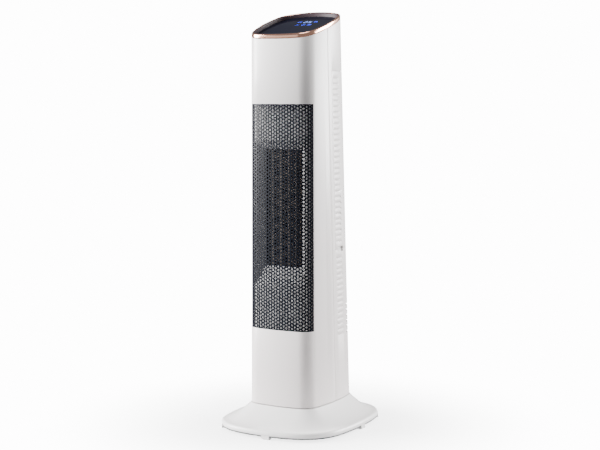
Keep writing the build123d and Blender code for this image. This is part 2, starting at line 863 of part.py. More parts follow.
def make_rocker():
    """Paddle pivoting about a cross pin; it rests with one half pressed in."""
    w = switch_half_width - 1.2 - body_gap
    r = switch_half_height - 1.0 - body_gap
    pivot_z = -2.0
    drum = Pos(0, 0, pivot_z) * Rot(0, 90, 0) * Cylinder(r, 2 * w)
    rise = tan(radians(rocker_throw_deg))
    face_z = switch_flange + 0.4
    profile = [(-20, -8), (20, -8), (20, face_z + 20 * rise), (0, face_z), (-20, face_z + 20 * rise)]
    wedge = extrude(Plane.YZ * make_face(Polyline(*profile, close=True)), amount=20, both=True)
    turned = Pos(0, 0, pivot_z) * Rot(rocker_throw_deg, 0, 0) * Pos(0, 0, -pivot_z)
    return switch_plane().location * (turned * (drum & wedge))


def make_cord_gland():
    start = back_surface_y(gland_z) - shell_wall - 4
    flange = Pos(0, start + 2, gland_z) * Rot(90, 0, 0) * Cylinder(gland_r + 2.5, 4)
    neck = Pos(0, start + 4 + 5, gland_z) * Rot(90, 0, 0) * Cylinder(gland_r, 10)
    sleeve = Pos(0, start + 14 + gland_length / 2, gland_z) * Rot(-90, 0, 0)
    sleeve *= Cone(gland_r, gland_bore_r + 1.4, gland_length)
    bore = Pos(0, start + 10, gland_z) * Rot(90, 0, 0) * Cylinder(gland_bore_r, 100)
    return (flange & tower_prism(shell_wall)) + neck + sleeve - bore


# ---------------------------------------------------------------- writing the parts
def all_nodes():
    nodes = {
        "base_plinth": make_plinth(),
        "base_plate": make_base_plate(),
        "base_screws": make_base_screws(),
        "thrust_washer": make_thrust_washer(),
        "stepper_motor": make_stepper(),
        "stepper_pinion": make_pinion(),
        "tilt_switch": make_tilt_switch(),
        "tilt_plunger": make_tilt_plunger(),
        "tower_floor": make_tower_floor(),
        "swivel_gear": make_swivel_gear(),
        "gear_screws": make_gear_screws(),
        "front_shell": make_front_shell(),
        "rear_shell": make_rear_shell(),
        "shell_screws": make_shell_screws(),
        "front_grille": make_front_grille(),
        "front_duct": make_front_duct(),
        "ptc_cap_low": make_ptc_cap(ptc_low_z - ptc_cap_height, ptc_low_z),
        "ptc_cap_high": make_ptc_cap(ptc_high_z, ptc_high_z + ptc_cap_height),
        "ptc_rails": make_ptc_rails(),
        "ptc_bars": make_ptc_bars(),
        "ptc_fins": make_ptc_fins(),
        "ptc_terminals": make_ptc_terminals(),
        "thermal_cutout": make_thermal_cutout(),
        "bulkhead_low": make_bulkhead(low_bulkhead_z, 14.0),
        "bulkhead_high": make_bulkhead(high_bulkhead_z, 9.0),
        "scroll_wall": make_scroll_wall(),
        "cutoff_wall": make_cutoff_wall(),
        "fan_motor": make_fan_motor(),
        "fan_wheel": make_fan_wheel(),
        "fan_shaft": make_fan_shaft(),
        "upper_bearing": make_upper_bearing(),
        "trim_ring": make_trim_ring(),
        "panel_tray": make_panel_tray(),
        "panel_glass": make_panel_glass(),
        "display_board": make_display_board(),
        "display_lamps": make_display_lamps(),
        "power_board": make_power_board(),
        "board_parts": make_board_parts(),
        "board_standoffs": make_board_standoffs(),
        "switch_housing": make_switch_housing(),
        "switch_rocker": make_rocker(),
        "cord_gland": make_cord_gland(),
        "filter_frame": make_filter_frame(),
        "filter_mesh": make_filter_mesh(),
        "rear_cover": make_rear_cover(),
    }
    for name, (x, y, turn) in foot_places().items():
        nodes[name] = make_foot(x, y, turn)
    return nodes


os.makedirs("parts", exist_ok=True)
for name, shape in all_nodes().items():
    solids = Compound(children=list(shape)) if isinstance(shape, list) else shape
    export_step(solids, f"parts/{name}.step")
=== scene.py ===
"""Ceramic tower heater: the visible skins, trim, grille, element and finishes around its fixed frame."""
import math

import bmesh
import bpy
from bpy.props import FloatProperty, FloatVectorProperty, IntProperty, PointerProperty
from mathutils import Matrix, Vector


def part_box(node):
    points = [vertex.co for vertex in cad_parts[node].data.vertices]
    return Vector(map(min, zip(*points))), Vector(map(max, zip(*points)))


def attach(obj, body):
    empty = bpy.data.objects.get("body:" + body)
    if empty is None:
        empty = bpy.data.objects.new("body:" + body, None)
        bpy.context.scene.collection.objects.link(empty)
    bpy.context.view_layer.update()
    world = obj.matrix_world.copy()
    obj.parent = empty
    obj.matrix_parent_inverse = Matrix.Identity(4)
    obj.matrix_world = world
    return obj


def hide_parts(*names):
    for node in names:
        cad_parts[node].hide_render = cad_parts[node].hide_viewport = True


bl_info = {
    "name": "Ceramic tower heater",
    "version": (1, 0, 0),
    "blender": (4, 5, 0),
    "location": "View3D > Sidebar > Heater",
    "description": "Builds the visible pieces and finishes of an oscillating ceramic tower heater",
    "category": "Object",
}

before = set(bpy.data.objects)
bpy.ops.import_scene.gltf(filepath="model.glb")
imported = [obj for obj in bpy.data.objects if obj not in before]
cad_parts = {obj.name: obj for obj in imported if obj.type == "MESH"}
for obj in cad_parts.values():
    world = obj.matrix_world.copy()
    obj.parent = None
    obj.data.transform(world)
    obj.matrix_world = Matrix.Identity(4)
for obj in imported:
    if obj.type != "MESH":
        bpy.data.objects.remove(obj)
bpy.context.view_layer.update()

MM = 0.001
SIDE_STEPS = 13
CORNER_STEPS = 11


# ------------------------------------------------------------------ sizes and colours
def length(name, description, value):
    """A length in metres, given in millimetres."""
    return FloatProperty(name=name, description=description, default=value * MM, unit="LENGTH", precision=5)


def colour(name, description, value):
    return FloatVectorProperty(name=name, description=description, default=value, subtype="COLOR",
                               size=3, min=0.0, max=1.0)


class HeaterSizes(bpy.types.PropertyGroup):
    """Sizes of the visible pieces; the outline repeats the frame's own."""
    height: length("Height", "Floor to the back of the top", 620.0)
    foot_z: length("Tower foot", "Underside of the turning tower", 39.5)
    half_front: length("Half width, front", "At the foot of the tower", 54.8)
    half_back: length("Half width, back", "At the foot of the tower", 55.6)
    narrowing: length("Narrowing", "Half width lost from foot to top", 1.8)
    front_y: length("Front chord", "Depth of the front corners", -71.0)
    back_y: length("Back chord", "Depth of the back corners at the foot", 72.7)
    back_lean: length("Back lean", "How far the back leans in", 30.4)
    front_crown: length("Front crown", "Outward bow of the front", 2.5)
    side_crown: length("Side crown", "Outward bow of each flank", 3.9)
    back_crown: length("Back crown", "Outward bow of the back", 6.8)
    front_r: length("Front corner radius", "Plan radius", 24.0)
    back_r: length("Back corner radius", "Plan radius", 26.2)
    wall: length("Shell wall", "Thickness of the moulded shells", 2.5)
    seam_y: length("Seam", "Depth of the parting line at the foot", 0.8)
    seam_lean: length("Seam lean", "How far the parting line leans forwards", 26.6)
    seam_gap: length("Seam gap", "Gap between the shells", 0.5)
    top_slope: FloatProperty(name="Top slope", description="Slant of the panel", default=math.radians(17.2),
                             subtype="ANGLE")
    ring_height: length("Ring height", "Trim ring, straight down", 6.2)
    ring_width: length("Ring width", "Trim ring, across its top", 3.2)
    glass_drop: length("Glass depth", "Panel glass below the rim", 6.0)
    grille_low: length("Grille foot", "Lower edge of the front grille", 152.3)
    grille_high: length("Grille head", "Upper edge of the front grille", 482.5)
    grille_half_low: length("Grille half width, foot", "Straight across the front", 52.7)
    grille_half_high: length("Grille half width, head", "Straight across the front", 51.6)
    mesh_pitch: length("Perforation pitch", "Hole to hole, up the sheet", 5.16)
    mesh_hole: length("Perforation hole", "Radius of one hole", 1.78)
    mesh_sheet: length("Perforated sheet", "Thickness", 0.8)
    base_half_width: length("Base half width", "To the corner circles", 98.5)
    base_half_depth: length("Base half depth", "To the corner circles", 116.9)
    base_crown: length("Base crown", "Outward bow of its sides", 3.7)
    base_r: length("Base corner radius", "Plan radius", 66.7)
    rim_low: length("Rim foot", "Underside of the base's rim", 5.6)
    rim_high: length("Rim head", "Where the rim's rounding ends", 13.3)
    plateau: length("Plateau", "Top of the base under the tower", 38.0)
    cover_low: length("Cover foot", "Lower edge of the rear cover", 266.3)
    cover_high: length("Cover head", "Upper edge of the rear cover", 530.0)
    cover_setback: length("Cover setback", "From the parting line", 10.0)
    cover_wall: length("Cover wall", "Thickness of the rear cover", 2.4)
    cover_gap: length("Cover gap", "Gap round the rear cover", 0.4)
    louvre_low: length("Lowest louvre", "Foot of the louvre rows", 133.0)
    louvre_pitch: length("Louvre pitch", "Row to row", 8.3)
    louvre_slot: length("Louvre slot", "Height of a slot", 3.4)
    louvre_half: length("Louvre half width", "Slots on the middle of the back", 34.0)
    louvre_wrap: length("Louvre wrap", "Where the wide slots start, from the back chord", 25.0)
    louvre_wide_rows: IntProperty(name="Wide rows", default=6,
                                  description="Lowest slots that turn the corner")
    groove_depth: length("Groove depth", "Flank grooves", 0.7)
    groove_length: length("Groove length", "Flank grooves", 23.0)
    groove_height: length("Groove height", "Flank grooves", 3.6)
    notch_height: length("Notch height", "Finger notch of the cover", 8.0)
    notch_length: length("Notch length", "Finger notch of the cover", 27.5)


class HeaterColours(bpy.types.PropertyGroup):
    """Base colours of the finishes."""
    shell: colour("Shell", "Moulded white shells", (0.83, 0.795, 0.785))
    base: colour("Base", "Moulded base", (0.83, 0.81, 0.80))
    rose: colour("Trim", "Rose gold trim ring", (0.90, 0.50, 0.36))
    glass: colour("Glass", "Black panel glass", (0.004, 0.004, 0.010))
    tray: colour("Tray", "Dark inner wall of the panel", (0.040, 0.026, 0.032))
    mesh: colour("Mesh", "Perforated sheet", (0.0030, 0.0045, 0.0095))
    lamp: colour("Lamp", "Lit symbols", (0.03, 0.07, 1.0))


def sizes():
    return bpy.context.scene.heater_sizes


def colours():
    return bpy.context.scene.heater_colours


# ------------------------------------------------------------------ shader helpers
class Maths:
    """A number socket that takes part in Python expressions."""

    def __init__(self, look, socket):
        self.look = look
        self.socket = socket

    def _do(self, operation, first, second):
        node = self.look.node("ShaderNodeMath", {"operation": operation}, {0: first, 1: second})
        return Maths(self.look, node.outputs[0])

    def __add__(self, other):
        return self._do("ADD", self, other)

    def __radd__(self, other):
        return self._do("ADD", other, self)

    def __sub__(self, other):
        return self._do("SUBTRACT", self, other)

    def __rsub__(self, other):
        return self._do("SUBTRACT", other, self)

    def __mul__(self, other):
        return self._do("MULTIPLY", self, other)

    def __rmul__(self, other):
        return self._do("MULTIPLY", other, self)

    def __truediv__(self, other):
        return self._do("DIVIDE", self, other)

    def __gt__(self, other):
        return self._do("GREATER_THAN", self, other)

    def __lt__(self, other):
        return self._do("LESS_THAN", self, other)


class Look:
    """One material under construction."""

    def __init__(self, name, **sockets):
        self.material = bpy.data.materials.new(name)
        self.material.use_nodes = True
        self.tree = self.material.node_tree
        self.shader = self.tree.nodes["Principled BSDF"]
        self.place = self.node("ShaderNodeTexCoord", {}, {}).outputs["Object"]
        for socket, value in sockets.items():
            self.shader.inputs[socket.replace("_", " ")].default_value = value

    def node(self, kind, settings, inputs):
        """Adds a node: settings first, then the values or links of its sockets."""
        made = self.tree.nodes.new(kind)
        for key, value in settings.items():
            if key == "stops":
                ramp = made.color_ramp
                for i, (position, shade) in enumerate(value):
                    stop = ramp.elements[i] if i < 2 else ramp.elements.new(position)
                    stop.position = position
                    stop.color = shade
            else:
                setattr(made, key, value)
        for key, value in inputs.items():
            self.feed(made.inputs[key], value)
        return made

    def feed(self, socket, value):
        if isinstance(value, Maths):
            value = value.socket
        if isinstance(value, bpy.types.NodeSocket):
            self.tree.links.new(value, socket)
        else:
            socket.default_value = value

    def noise(self, scale, detail=3.0, stretch=(1.0, 1.0, 1.0)):
        """Noise about 0.5, scale in features per metre."""
        mapped = self.node("ShaderNodeMapping", {}, {"Vector": self.place, "Scale": stretch})
        made = self.node("ShaderNodeTexNoise", {},
                         {"Vector": mapped.outputs[0], "Scale": scale, "Detail": detail})
        return Maths(self, made.outputs["Fac"])

    def height_share(self, low, high):
        """0 at the height low and 1 at the height high."""
        split = self.node("ShaderNodeSeparateXYZ", {}, {0: self.place})
        ranged = self.node("ShaderNodeMapRange", {}, {0: split.outputs["Z"], 1: low, 2: high})
        return Maths(self, ranged.outputs[0])

    def blend(self, share, first, second):
        made = self.node("ShaderNodeMix", {"data_type": "RGBA"}, {"Factor": share})
        self.feed(made.inputs[6], (*first, 1.0) if isinstance(first, tuple) else first)
        self.feed(made.inputs[7], (*second, 1.0) if isinstance(second, tuple) else second)
        return made.outputs[2]

    def colour(self, value):
        self.feed(self.shader.inputs["Base Color"], value)

    def rough(self, value):
        self.feed(self.shader.inputs["Roughness"], value)

    def bump(self, value, depth, strength=1.0):
        made = self.node("ShaderNodeBump", {}, {"Height": value, "Distance": depth, "Strength": strength})
        self.feed(self.shader.inputs["Normal"], made.outputs[0])


def tint(value, factor):
    return tuple(min(1.0, part * factor) for part in value)


def moulded(name, shade, rough=0.34, grain=0.00004, coat=0.15, low_painted_shade=0.0, shine=0.5):
    """Injection-moulded plastic: faint flow clouds, a fine skin and slight gloss changes, and if asked a
    painted warm shade towards the bottom.
    """
    shade = tuple(shade)
    look = Look(name, Coat_Weight=coat, Coat_Roughness=0.22, IOR=1.49, Specular_IOR_Level=shine)
    clouds = look.noise(9.0, 2.0)
    pale = look.blend(clouds, tint(shade, 0.985), tint(shade, 1.015))
    # Painted shade: the plastic turns warmer and slightly darker towards the bottom of the piece, standing in
    # for how the light falls there.
    if low_painted_shade:
        shaded_tint = (shade[0], shade[1] * 0.965, shade[2] * 0.962)
        share = look.height_share(0.50, 0.10) * low_painted_shade
        pale = look.blend(share, pale, shaded_tint)
    look.colour(pale)
    skin = look.noise(900.0, 2.0)
    look.rough(rough - 0.03 + skin * 0.06)
    look.bump(skin, grain, 0.5)
    return look.material


def metal(name, shade, rough=0.3, streak=(1.0, 1.0, 0.02), coat=0.0):
    """Worked metal: fine streaks along the work and a little tarnish."""
    shade = tuple(shade)
    look = Look(name, Metallic=1.0, Coat_Weight=coat)
    streaks = look.noise(2600.0, 3.0, streak)
    patches = look.noise(60.0, 3.0)
    look.colour(look.blend(patches, tint(shade, 0.92), tint(shade, 1.06)))
    look.rough(rough - 0.05 + streaks * 0.07 + patches * 0.03)
    look.bump(streaks, 0.00001, 0.3)
    return look.material


def rubbery(name, shade, rough=0.72):
    shade = tuple(shade)
    look = Look(name)
    grain = look.noise(1400.0, 4.0)
    dust = look.noise(35.0, 3.0)
    look.colour(look.blend(dust, tint(shade, 0.85), tint(shade, 1.35)))
    look.rough(rough - 0.06 + grain * 0.12)
    look.bump(grain, 0.00008, 0.6)
    return look.material


def rose_gold():
    """Polished plating with the faint ripple that moulded trim has under its plating."""
    shade = tuple(colours().rose)
    look = Look("rose gold plating", Metallic=1.0)
    ripple = look.noise(45.0, 2.0)
    haze = look.noise(700.0, 3.0)
    look.colour(look.blend(ripple, tint(shade, 0.97), tint(shade, 1.03)))
    look.rough(0.13 + haze * 0.05)
    look.bump(ripple, 0.00003, 0.2)
    return look.material


def panel_glass():
    """Back-painted black glass with faint wipe marks."""
    look = Look("black panel glass", IOR=1.3, Specular_IOR_Level=0.05)
    wipes = look.noise(55.0, 4.0, (1.0, 0.35, 1.0))
    shade = tuple(colours().glass)
    look.colour(look.blend(wipes, shade, (0.007, 0.008, 0.016)))
    look.rough(0.045 + wipes * 0.05)
    return look.material


def sheet_paint():
    """Satin stoving enamel on the perforated sheet."""
    shade = tuple(colours().mesh)
    look = Look("navy black enamel", IOR=1.4, Specular_IOR_Level=0.2)
    peel = look.noise(1200.0, 2.0)
    clouds = look.noise(25.0, 2.0)
    look.colour(look.blend(clouds, tint(shade, 0.85), tint(shade, 1.25)))
    look.rough(0.36 + peel * 0.1)
    look.bump(peel, 0.00003, 0.5)
    return look.material


def lit(name, shade, power):
    """Lit symbol behind the glass; its brightness varies by a soft cloud."""
    shade = tuple(shade)
    look = Look(name, Emission_Strength=power, Roughness=0.3)
    glow = look.noise(260.0, 2.0)
    colour_out = look.blend(glow, tint(shade, 0.7), shade)
    look.colour(colour_out)
    look.feed(look.shader.inputs["Emission Color"], colour_out)
    return look.material


def fired_ceramic():
    look = Look("fired ceramic")
    grain = look.noise(1100.0, 5.0)
    scorch = look.noise(70.0, 3.0)
    look.colour(look.blend(scorch, (0.11, 0.09, 0.08), (0.24, 0.20, 0.17)))
    look.rough(0.68 + grain * 0.2)
    look.bump(grain, 0.0001, 0.7)
    return look.material


def circuit_board():
    look = Look("green circuit board", Coat_Weight=0.2)
    split = look.node("ShaderNodeTexVoronoi", {"feature": "DISTANCE_TO_EDGE", "distance": "CHEBYCHEV"},
                      {"Vector": look.place, "Scale": 160.0})
    tracks = Maths(look, split.outputs["Distance"]) < 0.08
    look.colour(look.blend(tracks, (0.02, 0.16, 0.07), (0.05, 0.26, 0.12)))
    look.rough(0.35 + tracks * 0.1)
    return look.material


def woven_screen():
    """Black nylon screen: fine crossing threads with open cells."""
    look = Look("nylon screen")
    across = look.node("ShaderNodeTexWave", {"bands_direction": "X"}, {"Vector": look.place, "Scale": 260.0})
    upwards = look.node("ShaderNodeTexWave", {"bands_direction": "Z"}, {"Vector": look.place, "Scale": 260.0})
    threads = Maths(look, across.outputs["Fac"]) + Maths(look, upwards.outputs["Fac"])
    look.colour(look.blend(threads * 0.5, (0.012, 0.012, 0.013), (0.085, 0.085, 0.09)))
    look.rough(0.6 + threads * 0.1)
    look.bump(threads, 0.0002, 0.8)
    return look.material


# ------------------------------------------------------------------ modelling helpers
def tower_values(z, inset):
    """Outline of the tower at height z, moved inwards by inset."""
    s = sizes()
    share = (z - s.foot_z) / (s.height - s.foot_z)
    narrower = s.narrowing * share + inset
    return [s.half_front - narrower, s.half_back - narrower, s.front_y + inset,
            s.back_y - s.back_lean * share - inset, s.front_crown, s.side_crown, s.back_crown,
            s.front_r - inset, s.back_r - inset]


def base_values(inset):
    s = sizes()
    return [s.base_half_width - inset, s.base_half_width - inset, -s.base_half_depth + inset,
            s.base_half_depth - inset, s.base_crown, s.base_crown, s.base_crown,
            s.base_r - inset, s.base_r - inset]


def outline(values):
    """Points of a bowed, round-cornered outline, counter-clockwise from the front left corner."""
    half_front, half_back, y_front, y_back, crown_f, crown_s, crown_b, r_f, r_b = values
    centres = [Vector((-half_front + r_f, y_front + r_f)), Vector((half_front - r_f, y_front + r_f)),
               Vector((half_back - r_b, y_back - r_b)), Vector((-half_back + r_b, y_back - r_b))]
    radii = [r_f, r_f, r_b, r_b]
    crowns = [crown_f, crown_s, crown_b, crown_s]
    points, sides = [], []
    for i in range(4):
        a, b = centres[i], centres[(i + 1) % 4]
        along = (b - a).normalized()
        out = Vector((along.y, -along.x))
        half = 2 * math.atan(2 * crowns[i] / (b - a).length)
        sides.append((a, b, along, out, half))
    for i in range(4):
        a, b, along, out, half = sides[i]
        reach = (b - a).length / 2
        bow = reach / math.sin(half)
        for k in range(SIDE_STEPS):
            share = k / (SIDE_STEPS - 1)
            angle = half * (2 * share - 1)
            normal = out * math.cos(angle) + along * math.sin(angle)
            spot = a + along * (reach + bow * math.sin(angle))
            spot += out * bow * (math.cos(angle) - math.cos(half))
            radius = radii[i] + (radii[(i + 1) % 4] - radii[i]) * share
            points.append(spot + normal * radius)
        first = out * math.cos(half) + along * math.sin(half)
        _, _, next_along, next_out, next_half = sides[(i + 1) % 4]
        last = next_out * math.cos(next_half) - next_along * math.sin(next_half)
        start, end = math.atan2(first.y, first.x), math.atan2(last.y, last.x)
        end += 2 * math.pi if end < start else 0.0
        for k in range(1, CORNER_STEPS):
            angle = start + (end - start) * k / CORNER_STEPS
            points.append(b + Vector((math.cos(angle), math.sin(angle))) * radii[(i + 1) % 4])
    return points


def level_ring(values, z):
    return [Vector((p.x, p.y, z)) for p in outline(values)]


def top_height(y, drop):
    """Height of the slanted top over y, less drop."""
    s = sizes()
    back = s.back_y - s.back_lean + s.back_crown
    return s.height - drop + (y - back) * math.tan(s.top_slope)


def slanted_ring(inset, drop):
    """Tower outline that follows the slanted top, drop below it."""
    s = sizes()
    points = outline(tower_values(s.height, inset))
    for _ in range(3):
        heights = [top_height(p.y, drop) for p in points]
        points = [outline(tower_values(z, inset))[i] for i, z in enumerate(heights)]
    return [Vector((p.x, p.y, top_height(p.y, drop))) for p in points]


def deselect():
    if bpy.context.object and bpy.context.object.mode != "OBJECT":
        bpy.ops.object.mode_set(mode="OBJECT")
    bpy.ops.object.select_all(action="DESELECT")


def activate(obj):
    """Makes an object the only selected one and the active one."""
    deselect()
    obj.select_set(True)
    bpy.context.view_layer.objects.active = obj


def edit(obj):
    activate(obj)
    bpy.ops.object.mode_set(mode="EDIT")
    return bmesh.from_edit_mesh(obj.data)


def leave():
    bpy.ops.object.mode_set(mode="OBJECT")


def named(name):
    """Names the object that an operator has just added."""
    obj = bpy.context.object
    obj.name = name
    obj.data.name = name
    return obj


def choose(obj, test):
    """Selects the faces whose centre passes the test, in edit mode."""
    bpy.ops.mesh.select_mode(type="FACE")
    mesh = bmesh.from_edit_mesh(obj.data)
    for face in mesh.faces:
        face.select = bool(test(face.calc_center_median(), face.normal))
    mesh.select_flush_mode()
    bmesh.update_edit_mesh(obj.data)
    return sum(face.select for face in mesh.faces)


def remove(obj, test):
    """Deletes the faces whose centre passes the test, in edit mode."""
    choose(obj, test)
    bpy.ops.mesh.delete(type="FACE")


def cut(obj, place, normal, test=None, **clear):
    """Bisects the chosen faces by a plane."""
    if not choose(obj, test or (lambda c, n: True)):
        return
    bpy.ops.mesh.bisect(plane_co=place, plane_no=normal, threshold=0.00001, **clear)


def stack(name, rings, close_start=False, close_end=False, joined=False):
    """Skin through rings of equal count: each ring is extruded from the one before and put in place."""
    deselect()
    count = len(rings[0])
    bpy.ops.mesh.primitive_circle_add(vertices=count, radius=1.0)
    obj = named(name)
    mesh = edit(obj)
    for vertex, spot in zip(mesh.verts, rings[0]):
        vertex.co = spot
    bmesh.update_edit_mesh(obj.data)
    bpy.ops.mesh.select_all(action="SELECT")
    if close_start:
        bpy.ops.mesh.edge_face_add()
        bpy.ops.mesh.select_all(action="SELECT")
    for before, after in zip(rings, rings[1:]):
        bpy.ops.mesh.select_mode(type="EDGE")
        bpy.ops.mesh.extrude_edges_move()
        mesh = bmesh.from_edit_mesh(obj.data)
        spots = {tuple(round(v, 7) for v in p): q for p, q in zip(before, after)}
        for vertex in [v for v in mesh.verts if v.select]:
            vertex.co = spots[tuple(round(v, 7) for v in vertex.co)]
        bmesh.update_edit_mesh(obj.data)
    if close_end:
        bpy.ops.mesh.edge_face_add()
    if joined:
        bpy.ops.mesh.select_all(action="SELECT")
        bpy.ops.mesh.remove_doubles(threshold=0.000001)
    bpy.ops.mesh.select_all(action="SELECT")
    bpy.ops.mesh.normals_make_consistent(inside=False)
    leave()
    return obj


def apply_modifier(obj, kind, **settings):
    activate(obj)
    modifier = obj.modifiers.new(kind.lower(), kind)
    for key, value in settings.items():
        setattr(modifier, key, value)
    bpy.ops.object.modifier_apply(modifier=modifier.name)


def smooth(obj, degrees=35.0):
    activate(obj)
    bpy.ops.object.shade_smooth_by_angle(angle=math.radians(degrees))


def round_edges(obj, width, segments=2, degrees=38.0):
    apply_modifier(obj, "BEVEL", width=width, segments=segments, limit_method="ANGLE",
                   angle_limit=math.radians(degrees), use_clamp_overlap=True)


def wall_of(obj, thickness):
    """Gives a skin its wall, inwards."""
    edit(obj)
    bpy.ops.mesh.select_all(action="SELECT")
    bpy.ops.mesh.remove_doubles(threshold=0.00002)
    leave()
    apply_modifier(obj, "SOLIDIFY", thickness=thickness, offset=-1.0, use_even_offset=False,
                   use_quality_normals=True)


def dress(obj, material):
    obj.data.materials.clear()
    obj.data.materials.append(material)


def finish_piece(obj, material, body, slot, *nodes):
    dress(obj, material)
    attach(obj, body)
    if nodes:
        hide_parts(*nodes)


def join(name, pieces):
    deselect()
    for piece in pieces:
        piece.select_set(True)
    bpy.context.view_layer.objects.active = pieces[0]
    bpy.ops.object.join()
    return named(name)


def seam_at(z):
    s = sizes()
    return s.seam_y - s.seam_lean * (z - s.foot_z) / (s.height - s.foot_z)


def seam_normal():
    s = sizes()
    return Vector((0, s.height - s.foot_z, s.seam_lean)).normalized()


def louvre_rows(low, high):
    s = sizes()
    count = int((s.cover_high - s.louvre_low) / s.louvre_pitch)
    rows = [s.louvre_low + s.louvre_pitch * (i + 0.5) for i in range(count)]
    return [z for z in rows if low < z < high]


GROOVE_SLOPE = 1.6              # run of a groove's side for each unit of its depth
UP = Vector((0, 0, 1))
RIGHT = Vector((1, 0, 0))
BACK = Vector((0, 1, 0))


def tower_skin(name):
    """The tower's outer skin from its foot to just under the trim ring."""
    s = sizes()
    rings = [level_ring(tower_values(s.foot_z, 0), s.foot_z), slanted_ring(0, s.ring_height + 0.25 * MM)]
    return stack(name, rings)


def slice_rows(obj, edges, test):
    for z in edges:
        cut(obj, (0, 0, z), UP, test)


def open_louvres(obj, rows):
    """Cuts the back's slots; the lowest rows run round the corners."""
    s = sizes()
    half = s.louvre_slot / 2
    wide_below = s.louvre_low + s.louvre_wide_rows * s.louvre_pitch
    behind = lambda c, n: c.y > 0.01
    for x in (-s.louvre_half, s.louvre_half):
        cut(obj, (x, 0, 0), RIGHT, lambda c, n: c.y > 0.02 and n.y > 0.3)
    wrap_foot = s.back_y - s.louvre_wrap
    back_normal = Vector((0, s.height - s.foot_z, s.back_lean)).normalized()
    if rows[0] < wide_below:
        cut(obj, (0, wrap_foot, s.foot_z), back_normal, behind)
    for z in rows:
        slice_rows(obj, (z - half, z + half), behind)

    def in_slot(c, n):
        if c.y < 0.01 or not any(abs(c.z - z) < half for z in rows):
            return False
        lean = s.back_lean * (c.z - s.foot_z) / (s.height - s.foot_z)
        wide = c.z < wide_below and c.y > wrap_foot - lean
        return wide or (n.y > 0.3 and abs(c.x) < s.louvre_half)

    remove(obj, in_slot)


def sink_grooves(obj, rows):
    """Presses shallow grooves into both flanks."""
    s = sizes()
    half = s.groove_height / 2
    flank = lambda c, n: abs(n.x) > 0.9
    start = s.cover_setback + 2 * MM
    for shift in (start, start + s.groove_length):
        cut(obj, (0, seam_at(s.foot_z) + shift, s.foot_z), seam_normal(), flank)
    for z in rows:
        slice_rows(obj, (z - half, z + half), lambda c, n, z=z: abs(n.x) > 0.9 and abs(c.z - z) < 0.3)

    def in_groove(c, n):
        depth = c.y - seam_at(c.z) - start
        return abs(n.x) > 0.9 and 0 < depth < s.groove_length and any(abs(c.z - z) < half for z in rows)

    choose(obj, in_groove)
    bpy.ops.mesh.inset(thickness=s.groove_depth * GROOVE_SLOPE, depth=-s.groove_depth, use_boundary=True,
                       use_even_offset=True)


def open_notch(obj):
    """Half of the finger notch, cut from this skin's edge."""
    s = sizes()
    start = seam_at(s.cover_low) + s.cover_setback + 1.5 * MM
    end = start + s.notch_length
    low, high = s.cover_low - s.notch_height / 2, s.cover_low + s.notch_height / 2
    near = lambda c, n: abs(n.x) > 0.85 and low - 0.02 < c.z < high + 0.02
    for y in (start, end):
        cut(obj, (0, y, 0), BACK, near)
    for z in (low, high):
        cut(obj, (0, 0, z), UP, near)
    remove(obj, lambda c, n: abs(n.x) > 0.85 and start < c.y < end and low < c.z < high)


# ------------------------------------------------------------------ pieces
class HEATER_OT_front_shell(bpy.types.Operator):
    """Front shell with its opening for the grille"""
    bl_idname = "heater.front_shell"
    bl_label = "Front shell"

    def execute(self, context):
        s = sizes()
        obj = tower_skin("front_shell_skin")
        edit(obj)
        gap = s.seam_gap / 2
        cut(obj, (0, s.seam_y - gap, s.foot_z), seam_normal(), clear_outer=True)
        front = lambda c, n: n.y < -0.1
        for z in (s.grille_low, s.grille_high):
            cut(obj, (0, 0, z), UP, front)
        lean = s.grille_half_high - s.grille_half_low
        rise = s.grille_high - s.grille_low
        for side in (-1, 1):
            foot = (side * s.grille_half_low, 0, s.grille_low)
            cut(obj, foot, Vector((side * rise, 0, -lean)).normalized(), front)
        remove(obj, lambda c, n: n.y < -0.1 and s.grille_low < c.z < s.grille_high
               and abs(c.x) < s.grille_half_low + lean * (c.z - s.grille_low) / rise)
        leave()
        wall_of(obj, s.wall)
        round_edges(obj, 0.35 * MM)
        smooth(obj)
        # The shell's white gets painted warm shade towards its foot; the rear shell and cover share this
        # material.
        white = moulded("white shell plastic", colours().shell, low_painted_shade=0.8)
        finish_piece(obj, white, "tower", "shell_white", "front_shell")
        return {"FINISHED"}


class HEATER_OT_rear_shell(bpy.types.Operator):
    """Rear shell with its grooves, louvres and the seat of the rear cover"""
    bl_idname = "heater.rear_shell"
    bl_label = "Rear shell"

    def execute(self, context):
        s = sizes()
        obj = tower_skin("rear_shell_skin")
        edit(obj)
        foot = (0, s.seam_y + s.seam_gap / 2, s.foot_z)
        cut(obj, foot, seam_normal(), clear_inner=True)
        low, high = s.cover_low - s.cover_gap, s.cover_high + s.cover_gap
        for z in (low, high):
            cut(obj, (0, 0, z), UP)
        setback = s.cover_setback - s.cover_gap
        cut(obj, (0, s.seam_y + setback, s.foot_z), seam_normal(), lambda c, n: low < c.z < high)
        remove(obj, lambda c, n: low < c.z < high and c.y > seam_at(c.z) + setback)
        rows = louvre_rows(s.louvre_low, s.cover_low - s.notch_height)
        open_louvres(obj, rows)
        open_notch(obj)
        sink_grooves(obj, rows)
        self.open_switch(obj)
        leave()
        wall_of(obj, s.wall)
        round_edges(obj, 0.3 * MM)
        smooth(obj)
        white = bpy.data.materials["white shell plastic"]
        finish_piece(obj, white, "tower", "shell_white", "rear_shell")
        return {"FINISHED"}

    def open_switch(self, obj):
        """Opening behind the power switch and the hole of the cord gland."""
        for node, shrink in (("switch_housing", 3.0 * MM), ("cord_gland", 3.2 * MM)):
            low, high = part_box(node)
            x = high.x - shrink
            z0, z1 = low.z + shrink, high.z - shrink
            near = lambda c, n: n.y > 0.3 and abs(c.x) < 0.04 and c.z < 0.13
            for edge in (-x, x):
                cut(obj, (edge, 0, 0), RIGHT, near)
            for edge in (z0, z1):
                cut(obj, (0, 0, edge), UP, near)
            remove(obj, lambda c, n: n.y > 0.3 and abs(c.x) < x and z0 < c.z < z1)


